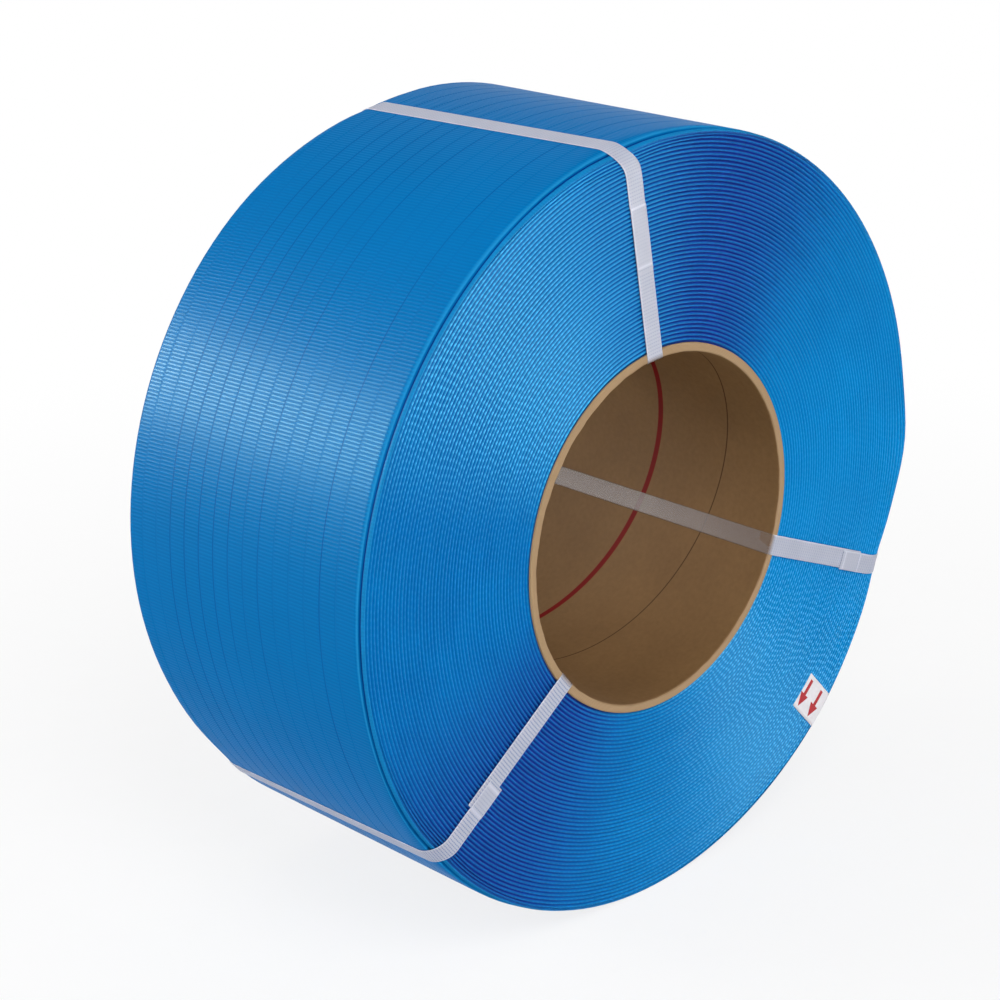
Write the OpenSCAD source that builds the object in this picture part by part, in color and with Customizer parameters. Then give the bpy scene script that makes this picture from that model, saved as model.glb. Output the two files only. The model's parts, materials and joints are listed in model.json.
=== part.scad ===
// Polypropylene strapping coil. Flat embossed strap is wound to and fro on a
// kraft paper core tube, so that its turns lie side by side on the outside and
// stand edge on at the two ends. Three welded ties, each passed through the
// bore, hold the coil, and a paper label with arrows marks the strap's free end.
// The coil stands on its rim with its axis along Y. The origin is the centre of
// the bore, +Z is up, and the end with the welds and the label faces -Y.
// Clock positions are read on that end: 0 is the top, and they grow clockwise.

/* [Core tube] */
// Bore of the kraft paper tube, across
core_bore = 200; // [150:1:250]
// Wall of the kraft paper tube
core_wall = 5; // [3:0.5:10]
// Length of the kraft paper tube
core_len = 190; // [150:1:240]
// How far the tube stands out of the winding at each end
core_proud = 0.75; // [0:0.05:3]
// Rounding of the tube's crushed inner edges
core_edge = 1.2; // [0.4:0.1:1.6]

/* [Strap winding] */
// Outside of the wound strap, across
coil_od = 443; // [380:1:600]
// Rounding of the winding's outer shoulders
shoulder = 4; // [2:0.5:6]
// Spacing of the turns that show on the ends
turn_pitch = 2.28; // [1.6:0.02:4]
// Share of that spacing which a turn's edge fills
turn_crest = 0.45; // [0.2:0.05:0.7]
// Depth of the groove between two turns on the ends
turn_groove = 1; // [0.6:0.1:1.8]
// Most that a turn's edge stands back from the end
turn_set_back = 0.3; // [0:0.05:0.5]

/* [Strap on the outside] */
// Width of the strap
strap_w = 12; // [9:0.5:19]
// Place of the first seam between turns, from the front end
first_seam = 6.8; // [6.8:0.1:12]
// Width of a seam
seam_w = 0.8; // [0.3:0.1:1.5]
// Depth of a seam
seam_depth = 0.4; // [0.1:0.1:1]

/* [Ties] */
// Width of a tie
tie_w = 12; // [5:0.5:16]
// Thickness of a tie
tie_t = 0.45; // [0.3:0.01:0.48]
// Rounding of the rims where a taut tie bends over them and crushes them
tie_bend = 12; // [6:0.5:16]
// Clock position of the first tie, in degrees
tie_1_clock = -13; // [-30:0.5:30]
// Distance of the first tie's middle line from the axis
tie_1_side = 12; // [-20:0.5:20]
// Distance of the first tie's weld from the rim
tie_1_weld = 33.5; // [20:0.5:40]
// Length of the first tie's weld
tie_1_weld_len = 36; // [15:1:40]
// Clock position of the second tie, in degrees
tie_2_clock = 110; // [80:0.5:130]
// Distance of the second tie's middle line from the axis
tie_2_side = 0; // [-20:0.5:20]
// Distance of the second tie's weld from the rim
tie_2_weld = 27.5; // [20:0.5:40]
// Length of the second tie's weld
tie_2_weld_len = 19; // [15:1:40]
// Clock position of the third tie, in degrees
tie_3_clock = 233; // [200:0.5:260]
// Distance of the third tie's middle line from the axis
tie_3_side = -6; // [-20:0.5:20]
// Distance of the third tie's weld from the rim
tie_3_weld = 32.5; // [20:0.5:40]
// Length of the third tie's weld
tie_3_weld_len = 19; // [15:1:40]

/* [Arrow label] */
// Width of the label along the rim
label_w = 23; // [10:1:40]
// Reach of the label over the front end, from the rim
label_reach = 30; // [10:1:50]
// Reach of the label over the outside, from the front end
label_fold = 22; // [8:1:50]
// Thickness of the label
label_t = 0.2; // [0.1:0.05:0.4]
// Clock position of the label, in degrees
label_clock = 136.5; // [125:0.5:150]

/* [Hidden] */
$fn = 120;
// Clearance between the tube and the first layer of strap
wind_gap = 0.05;
// Clearance under a tie and under the label
seat_gap = 0.02;
// How much rounder a crushed rim is than the tie on it
crush_ease = 0.3;
// Overshoot of a cutting block past the outside
spare = 5;

bore_r = core_bore / 2;
core_r = bore_r + core_wall;
wind_r = core_r + wind_gap;
coil_r = coil_od / 2;
// Radius at which the end of the winding meets its shoulder
rim_r = coil_r - shoulder;
core_z = core_len / 2;
front_z = core_z - core_proud;
// Half the length of rim that a tie crushes
crush_reach = sqrt(pow(coil_r, 2) - pow(coil_r - tie_bend - crush_ease, 2)) + spare;
turns = floor((rim_r - wind_r) / turn_pitch);
seams = floor((2 * front_z - first_seam - shoulder - seam_w / 2) / strap_w);

// Points of an arc about c, from one angle to another in n steps
function arc(c, r, from, to, n) = [
    for (i = [0:n])
        let (a = from + (to - from) * i / n)
        c + r * [cos(a), sin(a)]
];

// The same points with z turned over, walked the other way
function turned_over(points) = [
    for (i = [len(points) - 1:-1:0])
        [points[i].x, -points[i].y]
];

// How far turn k, counted from the rim, stands back on the front or rear end
function set_back(k, phase) = turn_set_back * (1 + sin(61 * k * k + phase)) / 2;

// One end of the winding, from its bore out to the shoulder: turn edges with
// grooves between them, and what is left over as one plain step at the bore
function end_points(phase) = concat(
    [[wind_r, front_z - turn_set_back]],
    [
        for (k = [turns - 1:-1:0])
            let (r = rim_r - (k + 0.5) * turn_pitch, z = front_z - set_back(k, phase))
            each [
                [r - turn_pitch / 2, front_z - turn_groove],
                [r - turn_pitch * turn_crest / 2, z],
                [r + turn_pitch * turn_crest / 2, z]
            ]
    ],
    [[rim_r, front_z - turn_groove]],
    arc([rim_r, front_z - shoulder], shoulder, 75, 0, 6)
);

// The outside of the winding, from front to rear, with a seam between turns
function seam_points() = [
    for (j = [0:seams])
        let (z = front_z - first_seam - j * strap_w)
        each [
            [coil_r, z + seam_w / 2],
            [coil_r - seam_depth, z],
            [coil_r, z - seam_w / 2]
        ]
];

// Section that a taut strip lies on, grown outward: round the tube's inner edge,
// along the tube's end and down the winding's end to a rim of the given rounding
function taut_front(grow, bend) =
    let (slope = atan2(core_proud, coil_r - bend - core_r))
    concat(
        arc([bore_r + core_edge, core_z - core_edge], core_edge + grow, 180, 90, 8),
        arc([core_r, core_z], grow, 90, 90 - slope, 1),
        arc([coil_r - bend, front_z - bend], bend + grow, 90 - slope, 0, 12)
    );

function taut_section(grow, bend) = concat(taut_front(grow, bend), turned_over(taut_front(grow, bend)));

// What a tie crushes off the front rim, seen along the rim
function crushed_points(bend) = concat(
    arc([coil_r - bend, front_z - bend], bend, 90, 0, 6),
    [
        [coil_r + spare, front_z - bend],
        [coil_r + spare, front_z + spare],
        [coil_r - bend, front_z + spare]
    ]
);

// Turns a piece from its own axis, +Z, to the coil standing on its rim
module stand() {
    rotate([90, 0, 0])
        children();
}

// Carries a piece from the top of the coil round to a clock position
module at_clock(clock) {
    stand()
        rotate([0, 0, -clock])
            children();
}

// Turned skin of the given thickness over the tube and winding
module skin(thickness, bend) {
    rotate_extrude()
        difference() {
            polygon(taut_section(seat_gap + thickness, bend));
            polygon(taut_section(seat_gap, bend));
        }
}

// Block that rounds both rims where a tie crosses them. The rims fall away from
// its straight length, so the rounding fades out on both sides of the tie.
module crush(clock, side) {
    at_clock(clock + asin(side / coil_r))
        rotate([90, 0, 90])
            linear_extrude(2 * crush_reach, center = true) {
                polygon(crushed_points(tie_bend + crush_ease));
                polygon(turned_over(crushed_points(tie_bend + crush_ease)));
            }
}

// A tie is a flat-sided slice of the skin, so it bends only where it is bent
// over the tube's edges and the shoulders. Its ends overlap at the weld.
module tie(clock, side, weld, weld_len) {
    color("gainsboro")
        at_clock(clock)
            union() {
                intersection() {
                    skin(tie_t, tie_bend);
                    translate([side - tie_w / 2, 0, -core_z - spare])
                        cube([tie_w, coil_r + spare, core_len + 2 * spare]);
                }
                intersection() {
                    skin(2 * tie_t, tie_bend);
                    translate([side - tie_w / 2, coil_r - weld - weld_len, front_z - turn_groove])
                        cube([tie_w, weld_len, core_proud + turn_groove + spare]);
                }
            }
}

module core() {
    color("tan")
        stand()
            rotate_extrude()
                polygon(concat(
                    arc([bore_r + core_edge, core_z - core_edge], core_edge, 180, 90, 8),
                    [[core_r, core_z], [core_r, -core_z]],
                    arc([bore_r + core_edge, core_edge - core_z], core_edge, 270, 180, 8)
                ));
}

module winding() {
    color("dodgerblue")
        difference() {
            stand()
                rotate_extrude()
                    polygon(concat(end_points(0), seam_points(), turned_over(end_points(40))));
            crush(tie_1_clock, tie_1_side);
            crush(tie_2_clock, tie_2_side);
            crush(tie_3_clock, tie_3_side);
        }
}

module tie_1() {
    tie(tie_1_clock, tie_1_side, tie_1_weld, tie_1_weld_len);
}

module tie_2() {
    tie(tie_2_clock, tie_2_side, tie_2_weld, tie_2_weld_len);
}

module tie_3() {
    tie(tie_3_clock, tie_3_side, tie_3_weld, tie_3_weld_len);
}

module arrow_label() {
    color("whitesmoke")
        at_clock(label_clock)
            intersection() {
                skin(label_t, shoulder);
                translate([-label_w / 2, coil_r - label_reach, front_z - label_fold])
                    cube([label_w, label_reach + spare, label_fold + core_proud + spare]);
            }
}

core();
winding();
tie_1();
tie_2();
tie_3();
arrow_label();
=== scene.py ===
# %% [markdown]
# # A coil of polypropylene strapping
# A machine coil is one plastic strap, about 2.7 km long, wound to and fro on a paper tube until
# it is a thick ring. Three ties pass through the tube and round the ring, and a small paper label
# marks the strap's free end. The solids of these pieces are made and placed already, so this
# script only dresses them: it loads them, reads its sizes from them and builds a detailed mesh
# over each one, in metres, in the same place. The coil stands on its rim with its axis along Y,
# the end with the label faces -Y, and clock positions are read on that end: 0 is the top, and
# they grow clockwise.

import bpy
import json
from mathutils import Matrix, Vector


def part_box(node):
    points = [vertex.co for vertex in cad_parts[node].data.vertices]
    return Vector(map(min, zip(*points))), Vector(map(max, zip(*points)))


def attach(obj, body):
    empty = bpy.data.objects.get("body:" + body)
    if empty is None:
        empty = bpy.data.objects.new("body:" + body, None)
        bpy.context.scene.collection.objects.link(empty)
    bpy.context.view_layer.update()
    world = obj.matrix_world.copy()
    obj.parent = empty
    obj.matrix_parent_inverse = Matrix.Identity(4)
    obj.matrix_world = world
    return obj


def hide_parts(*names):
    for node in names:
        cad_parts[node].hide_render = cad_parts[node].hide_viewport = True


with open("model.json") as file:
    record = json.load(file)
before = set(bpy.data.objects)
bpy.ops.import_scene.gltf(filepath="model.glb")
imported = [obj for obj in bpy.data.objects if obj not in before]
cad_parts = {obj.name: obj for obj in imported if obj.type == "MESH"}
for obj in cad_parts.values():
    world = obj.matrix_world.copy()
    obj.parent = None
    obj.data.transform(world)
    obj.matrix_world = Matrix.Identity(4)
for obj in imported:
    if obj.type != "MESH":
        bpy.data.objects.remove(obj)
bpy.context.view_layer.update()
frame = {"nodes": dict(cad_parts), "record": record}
print("solids:", sorted(frame["nodes"]))

# %% [markdown]
# ## Sizes
# The outer sizes come from the solids, so the dressed coil can't drift away from them. The sizes
# of the strap itself are what the maker of the strap would give: its width, the spacing of its
# embossed rows and the spacing of the turns on the ends. They are written once, in millimetres
# times MM.

# %% Sizes of the coil
import json
import math

import bpy
from mathutils import Vector

MM = 0.001
TURN = 2 * math.pi
low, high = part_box("winding")
OUTER = (high.x - low.x) / 2
HALF_WIDTH = high.y
low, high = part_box("core")
TUBE_OUTER = high.x
TUBE_HALF = high.y
BORE = frame["record"]["mounts"][0]["dims"]["r_mm"] * MM
WOUND_FROM = TUBE_OUTER + 0.05 * MM

STRAP_WIDTH = 12 * MM
SEAM_FIRST = 18.8 * MM
SEAM_WIDTH = 0.6 * MM
SEAM_DEPTH = 0.09 * MM
LIP = 3.4 * MM
LIP_WIDTH = 1.9 * MM
LIP_DEPTH = 1.1 * MM
RIDGE_PITCH = 2.28 * MM
RIDGE_DEPTH = 1.0 * MM
RIDGE_FIRST = 1.72 * MM
REAR_TURNS = 100
FLAT_TURNS = 300
EMBOSS_ROWS = 680
BEAD_PITCH = 4.1 * MM / TURN
# Clock angles on the ends where painted highlights and painted shade are strongest, and where one side is painted
# lighter, as if lit; they go with the light, not with the strap
GLITTER_CLOCKS = ((312.0, 24.0), (143.0, 9.0))
CORD_LIGHT_CLOCK = 328.0
LIT_SIDE_CLOCK = 110.0

print(f"outer radius {OUTER / MM:.1f} mm, half width {HALF_WIDTH / MM:.2f} mm, bore {BORE / MM:.0f} mm")

# %% [markdown]
# ## Camera
# The camera comes first, because every later choice is judged through it. It stands 45 degrees
# round to the left of the labelled end and 20 degrees up, with a long lens, as for a catalogue
# picture: a long lens keeps the far rim nearly as large as the near one.

# %% Camera
VIEW_LEFT = math.radians(45.01)
VIEW_UP = math.radians(20.19)
VIEW_DISTANCE = 1.4075
VIEW_AIM = Vector((-17.9, 14.7, -6.2)) * MM
VIEW_LENS = 88.07

away = Vector((-math.sin(VIEW_LEFT) * math.cos(VIEW_UP), -math.cos(VIEW_LEFT) * math.cos(VIEW_UP),
               math.sin(VIEW_UP)))
camera = bpy.data.objects.new("camera", bpy.data.cameras.new("camera"))
camera.data.lens = VIEW_LENS
camera.data.sensor_width = 36
camera.location = VIEW_AIM + VIEW_DISTANCE * away
camera.rotation_euler = away.to_track_quat("Z", "Y").to_euler()
bpy.context.scene.collection.objects.link(camera)
bpy.context.scene.camera = camera
print("camera at", [round(c, 3) for c in camera.location])

# %% [markdown]
# ## Two helpers for node trees
# Geometry trees and materials are both made of nodes, so one small function adds a node to
# either. A kind in capitals, such as "SINE", is an operation of the Math node. The second
# function starts a Geometry Nodes tree with its sizes as named inputs.

# %% Add a node, start a tree
SOCKETS = {float: "NodeSocketFloat", int: "NodeSocketInt", type(None): "NodeSocketGeometry",
           bpy.types.Material: "NodeSocketMaterial"}


def add(tree, kind, *inputs, **settings):
    """Adds one node, sets it up, and links or sets its inputs, in order or by name in a dict."""
    if kind.isupper():
        kind, settings = "ShaderNodeMath", {"operation": kind}
    node = tree.nodes.new(kind)
    for setting, value in settings.items():
        setattr(node, setting, value)
    given = inputs[0] if inputs and isinstance(inputs[0], dict) else dict(enumerate(inputs))
    for name, value in given.items():
        if isinstance(value, bpy.types.NodeSocket):
            tree.links.new(value, node.inputs[name])
        else:
            node.inputs[name].default_value = value
    return next((socket for socket in node.outputs if socket.enabled), None)


def start_tree(name, inputs, result="NodeSocketGeometry"):
    """Starts a Geometry Nodes tree whose inputs have these values until a modifier sets them."""
    tree = bpy.data.node_groups.new(name, "GeometryNodeTree")
    for label, value in inputs.items():
        socket = tree.interface.new_socket(label, in_out="INPUT", socket_type=SOCKETS[type(value)])
        if value is not None:
            socket.default_value = value
    tree.interface.new_socket("Result", in_out="OUTPUT", socket_type=result)
    return tree, tree.nodes.new("NodeGroupInput").outputs, tree.nodes.new("NodeGroupOutput").inputs[0]


def grow(name, start, tree, **values):
    """Runs a tree on a mesh, and gives an object whose plain mesh is the tree's result."""
    piece = bpy.data.objects.new(name, start)
    bpy.context.scene.collection.objects.link(piece)
    modifier = piece.modifiers.new(tree.name, "NODES")
    modifier.node_group = tree
    for socket in tree.interface.items_tree:
        key = socket.name.lower().replace(" ", "_")
        if socket.in_out == "INPUT" and key in values:
            modifier[socket.identifier] = values[key]
    made = piece.evaluated_get(bpy.context.evaluated_depsgraph_get())
    made = bpy.data.meshes.new_from_object(made)
    piece.modifiers.clear()
    piece.data = made
    made.calc_loop_triangles()
    print(f"{name}: {len(made.loop_triangles)} triangles")
    return piece


# %% [markdown]
# ## Colours and materials
# Colours are written as on a colour card, in sRGB hex, and one function turns them to the linear
# values that Blender mixes. A material starts as a Principled shader whose constants are set on
# its own sockets.

# %% Colour and material helpers


def colour(code):
    """Turns an sRGB hex colour to a linear one."""
    parts = [int(code[i:i + 2], 16) / 255 for i in (1, 3, 5)]
    return [c / 12.92 if c <= 0.04045 else ((c + 0.055) / 1.055) ** 2.4 for c in parts] + [1]


def start_material(name, constants):
    """Starts a node material, and gives its tree and its Principled shader's inputs."""
    material = bpy.data.materials.new(name)
    material.use_nodes = True
    tree = material.node_tree
    surface = tree.nodes["Principled BSDF"].inputs
    for constant, value in constants.items():
        surface[constant].default_value = value
    return material, tree, surface


# %% [markdown]
# ## Where a point of the coil is, in polar terms
# The strap runs round the axis, so its pattern has to run round it too. Instead of a UV map, the
# strap's materials work out the clock angle from Object coordinates, which have no cut in them
# except where the angle starts again, at the foot of the coil. How many turns a point is from the
# rim comes from the attribute "turn", which the geometry tree writes.

# %% Clock angle in a material


def clock_angle(tree):
    """The clock angle of the shaded point, in radians."""
    place = add(tree, "ShaderNodeTexCoord").node.outputs["Object"]
    x, _, z = add(tree, "ShaderNodeSeparateXYZ", place).node.outputs
    return add(tree, "ARCTAN2", x, z)


# %% [markdown]
# ## Material: embossed polypropylene strap, lying flat
# Polypropylene strap is extruded, stretched and run between rollers that press rows of small bars into it, which
# stop it from slipping and splitting. The plastic is dyed through and has a soft gloss. Its bars are 2 mm apart and
# cross the whole strap, and the rows of two turns that lie side by side don't line up, so every turn gets a phase
# of its own. The relief is only hundredths of a millimetre high, so it is bump, and the bars get a painted
# highlight, a lighter blue. The gap between two turns gets painted shade, because it is deep, and the lip groove at
# the front rim gets a line of painted shade, with lines of painted highlight beside it.

# %% Strap lying flat
flat_strap, tree, surface = start_material("polypropylene strap, embossed", {
    "IOR": 1.49, "Specular IOR Level": 0.014, "Specular Tint": colour("#60F4F0")})
clock = clock_angle(tree)
turn = add(tree, "ShaderNodeAttribute", attribute_name="turn").node.outputs["Fac"]
own = add(tree, "ShaderNodeTexWhiteNoise", {"W": add(tree, "FLOOR", turn)}, noise_dimensions="1D")
across = add(tree, "FRACT", turn)
edge = add(tree, "PINGPONG", across, 0.5)
slant = add(tree, "MULTIPLY", across, 1.3)
phase = add(tree, "MULTIPLY_ADD", own, TURN, slant)
wave = add(tree, "SINE", add(tree, "MULTIPLY_ADD", clock, float(EMBOSS_ROWS), phase))
bars = add(tree, "ShaderNodeMapRange", wave, -0.5, 0.6, 0.0, 1.0, interpolation_type="SMOOTHSTEP")
inside = add(tree, "ShaderNodeMapRange", edge, 0.02, 0.09, 0.0, 1.0, interpolation_type="SMOOTHSTEP")
relief = add(tree, "MULTIPLY", bars, inside)
place = add(tree, "ShaderNodeTexCoord").node.outputs["Object"]
cloud = add(tree, "ShaderNodeTexNoise", {"Vector": place, "Scale": 14.0, "Detail": 3.0})
grain = add(tree, "ShaderNodeTexNoise", {"Vector": place, "Scale": 900.0, "Detail": 2.0})
nearest = add(tree, "ROUND", turn)
open_seam = add(tree, "ShaderNodeTexWhiteNoise", {"W": nearest}, noise_dimensions="1D")
stretch = add(tree, "ShaderNodeTexNoise", {"Vector": place, "Scale": 9.0, "Detail": 1.0})
shut = add(tree, "ShaderNodeMapRange", add(tree, "ADD", open_seam, stretch), 1.0, 1.3, 0.0, 1.0)
plain = add(tree, "ShaderNodeMix", {0: cloud, 6: colour("#0068AA"), 7: colour("#0070B6")}, data_type="RGBA")
# The bars are painted a lighter blue: a painted highlight on the relief.
lit = add(tree, "ShaderNodeMix", {0: add(tree, "MULTIPLY", relief, 0.25), 6: plain, 7: colour("#0082C6")},
          data_type="RGBA")
# Painted shade in the seams between two turns, a dark blue, strong at some seams and faint at others.
gap = add(tree, "MULTIPLY", add(tree, "ShaderNodeMapRange", edge, 0.008, 0.026, 0.75, 0.0), shut)
shade = add(tree, "ShaderNodeMix", {0: gap, 6: lit, 7: colour("#003C84")}, data_type="RGBA")
# The lip groove gets a line of painted shade, a deep blue, strongest near one clock angle.
from_lip = add(tree, "ABSOLUTE", add(tree, "SUBTRACT", turn, FLAT_TURNS + 1.0))
upper = add(tree, "COSINE", add(tree, "SUBTRACT", clock, math.radians(CORD_LIGHT_CLOCK)))
upper = add(tree, "ShaderNodeMapRange", upper, -0.1, 0.5, 0.3, 1.0)
lip_painted_shade = add(tree, "MULTIPLY", add(tree, "ShaderNodeMapRange", from_lip, 0.012, 0.045, 0.9, 0.0), upper)
# Painted highlight, a light cyan, on the lines beside the lip groove and on the strip in front of it.
beside_lip = add(tree, "SUBTRACT", add(tree, "ShaderNodeMapRange", from_lip, 0.045, 0.06, 0.0, 0.5),
                 add(tree, "ShaderNodeMapRange", from_lip, 0.065, 0.1, 0.0, 0.5))
crest = add(tree, "MULTIPLY", add(tree, "LESS_THAN", turn, FLAT_TURNS + 0.7), 0.3)
painted_highlight = add(tree, "MAXIMUM", beside_lip, crest)
shade = add(tree, "ShaderNodeMix", {0: painted_highlight, 6: shade, 7: colour("#30A8E4")}, data_type="RGBA")
shade = add(tree, "ShaderNodeMix", {0: lip_painted_shade, 6: shade, 7: colour("#08287C")}, data_type="RGBA")
tree.links.new(shade, surface["Base Color"])
height = add(tree, "MULTIPLY_ADD", grain, 0.1, relief)
bump = add(tree, "ShaderNodeBump", {"Height": height, "Distance": 0.05 * MM, "Strength": 1.0})
tree.links.new(bump, surface["Normal"])
dull = add(tree, "ShaderNodeMapRange", relief, 0.0, 1.0, 0.5, 0.28)
tree.links.new(dull, surface["Roughness"])
print(flat_strap.name, "rows of bars", round(TURN * OUTER / EMBOSS_ROWS / MM, 2), "mm apart")

# %% [markdown]
# ## Material: the same strap, seen edge on
# On the coil's ends only the strap's edges show, as ridges 2.28 mm apart. The emboss leaves a bead on each edge at
# every second row of bars. On such a coil the beads glitter in two opposite sectors; here that glitter is a painted
# highlight, a light cyan, and near one clock angle the crests get lines of painted highlight. One side of the end
# is painted lighter, as if lit. Deep between two ridges the grooves get painted shade, a royal blue, and where they
# gape the end gets a violet painted shade.

# %% Strap seen edge on
edge_strap, tree, surface = start_material("polypropylene strap, edge on", {
    "Roughness": 0.3, "IOR": 1.49, "Specular IOR Level": 0.018, "Specular Tint": colour("#78E6FF")})
clock = clock_angle(tree)
turn = add(tree, "ShaderNodeAttribute", attribute_name="turn").node.outputs["Fac"]
number = add(tree, "FLOOR", turn)
own = add(tree, "ShaderNodeTexWhiteNoise", {"W": number}, noise_dimensions="1D")
place = add(tree, "ShaderNodeTexCoord").node.outputs["Object"]
gape = add(tree, "ShaderNodeAttribute", attribute_name="gape").node.outputs["Fac"]
out = add(tree, "MULTIPLY_ADD", add(tree, "MODULO", number, float(REAR_TURNS)), -RIDGE_PITCH, OUTER)
slide = add(tree, "ShaderNodeTexNoise", {"Vector": add(
    tree, "ShaderNodeCombineXYZ", add(tree, "MULTIPLY", number, 0.4), add(tree, "MULTIPLY", clock, 2.5), 0.0),
    "Scale": 1.0, "Detail": 1.0})
slide = add(tree, "MULTIPLY_ADD", slide, 30.0, add(tree, "MULTIPLY", own, 2.0))
angle = add(tree, "MULTIPLY_ADD", clock, add(tree, "DIVIDE", out, BEAD_PITCH), slide)
bead = add(tree, "ShaderNodeMapRange", add(tree, "SINE", angle), -0.3, 1.0, 0.0, 1.0,
           interpolation_type="SMOOTHSTEP")
# In two opposite sectors the beads stand out and glitter: there the beads' bump grows, they get a painted highlight
# in colour, and the grooves get more painted shade.
glitter = 0.1
for middle, narrow in GLITTER_CLOCKS:
    apart = add(tree, "COSINE", add(tree, "SUBTRACT", clock, math.radians(middle)))
    bell = add(tree, "EXPONENT", add(tree, "MULTIPLY_ADD", apart, narrow, -narrow))
    glitter = add(tree, "ADD", glitter, bell)
bead = add(tree, "MULTIPLY", bead, glitter)
crest = add(tree, "SINE", add(tree, "MULTIPLY", add(tree, "FRACT", turn), math.pi))
top = add(tree, "POWER", crest, 3.0)
relief = add(tree, "MULTIPLY", top, bead)
cloud = add(tree, "ShaderNodeTexNoise", {"Vector": place, "Scale": 18.0, "Detail": 3.0})
# One side of the end is painted lighter, as if lit from that clock angle: painted light, mixed with a random change
# of tone.
lit_side_and_tone = add(tree, "COSINE", add(tree, "SUBTRACT", clock, math.radians(LIT_SIDE_CLOCK)))
lit_side_and_tone = add(tree, "MULTIPLY_ADD", lit_side_and_tone, 0.4, cloud)
ridge_blue = add(tree, "ShaderNodeMix", {0: lit_side_and_tone, 6: colour("#006EB6"), 7: colour("#008AD0")},
                 data_type="RGBA")
# Near one clock angle the crests get lines of painted highlight and the grooves more painted shade. Crests and
# beads are painted a light cyan, a painted highlight.
cord_light = add(tree, "COSINE", add(tree, "SUBTRACT", clock, math.radians(CORD_LIGHT_CLOCK)))
cord_light = add(tree, "ShaderNodeMapRange", cord_light, 0.75, 0.99, 0.1, 0.7)
wear_and_painted_highlight = add(tree, "MULTIPLY_ADD", top, cord_light, add(tree, "MULTIPLY", relief, 0.75))
ridges_with_painted_highlight = add(tree, "ShaderNodeMix", {0: wear_and_painted_highlight, 6: ridge_blue, 7: colour("#48BCF4")}, data_type="RGBA")
# The grooves between the ridges get painted shade, a royal blue, more where they gape, near that clock angle and in
# the glitter sectors.
deep = add(tree, "ShaderNodeMapRange", crest, 0.3, 0.9, 1.0, 0.0, interpolation_type="SMOOTHSTEP")
groove_shade_share = add(tree, "MULTIPLY_ADD", gape, 0.8, add(tree, "MULTIPLY_ADD", cord_light, 0.45, 0.12))
groove_shade_share = add(tree, "MULTIPLY_ADD", glitter, 0.22, groove_shade_share)
deep = add(tree, "MULTIPLY", deep, groove_shade_share)
shade = add(tree, "ShaderNodeMix", {0: deep, 6: ridges_with_painted_highlight, 7: colour("#0A2484")}, data_type="RGBA")
# Where the grooves gape, the whole end gets a violet painted shade, less on the crests.
gape_painted_shade = add(tree, "MULTIPLY", gape, add(tree, "MULTIPLY_ADD", top, -0.45, 0.8))
shade = add(tree, "ShaderNodeMix", {0: gape_painted_shade, 6: shade, 7: colour("#2C48B0")}, data_type="RGBA")
tree.links.new(shade, surface["Base Color"])
bump = add(tree, "ShaderNodeBump", {"Height": relief, "Distance": 0.2 * MM, "Strength": 1.0})
tree.links.new(bump, surface["Normal"])
print(edge_strap.name, "ridges", RIDGE_PITCH / MM, "mm apart")

# %% [markdown]
# ## The coil's skin, one rule for all that lies on it
# The winding, the ties and the label share one surface: out along the end, over the rim and along the outside. A
# taut tie crushes the rim where it crosses it, so the rim is nearly square between the ties and well rounded at
# them. If each piece worked this out by itself, they would soon cut into each other. So one node group turns a
# place on the unrolled skin into a place in space: how far it is along from the rim, its height above the skin, its
# clock angle and its end, 1 for the front and -1 for the rear. The trees of the winding, the ties and the label
# call this group.

# %% The skin group
TIES = {
    "tie_1": {"clock": -13.0, "side": 12 * MM},
    "tie_2": {"clock": 110.0, "side": 0 * MM},
    "tie_3": {"clock": 233.0, "side": -6 * MM},
}
for tie in TIES.values():
    tie["rim_clock"] = math.radians(tie["clock"]) + math.asin(tie["side"] / OUTER)

skin, given, result = start_tree("coil skin", {
    "Along": 0.0, "Height": 0.0, "Clock": 0.0, "End": 1.0, "Half width": HALF_WIDTH,
    "Outer radius": OUTER, "Bore radius": BORE, "Bore rounding": 1.2 * MM, "Rim rounding": 1.5 * MM,
    "Tie crush": 7.5 * MM, "Tie bite": 4 * MM, "Lobes": 0.65 * MM, "Lobe clock": math.radians(62),
    "Slack": 4.2 * MM, "Slack clock": math.radians(91), "Slack reach": 11 * MM,
    **{f"Rim clock of {name}": tie["rim_clock"] for name, tie in TIES.items()},
}, "NodeSocketVector")
CRUSH_SPREAD = 16.4
BITE_SPREAD = 260.0
along, clock, half_width = given["Along"], given["Clock"], given["Half width"]

# The pull of the ties at this clock angle, a wide bell and a narrow one round each tie
wide, narrow = 0.0, 0.0
for name in TIES:
    apart = add(skin, "COSINE", add(skin, "SUBTRACT", clock, given[f"Rim clock of {name}"]))
    fall = add(skin, "SUBTRACT", apart, 1.0)
    wide = add(skin, "ADD", wide, add(skin, "EXPONENT", add(skin, "MULTIPLY", fall, CRUSH_SPREAD)))
    narrow = add(skin, "ADD", narrow, add(skin, "EXPONENT", add(skin, "MULTIPLY", fall, BITE_SPREAD)))
rounding = add(skin, "MULTIPLY_ADD", wide, given["Tie crush"], given["Rim rounding"])
rounding = add(skin, "MULTIPLY_ADD", narrow, given["Tie bite"], rounding)

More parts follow.
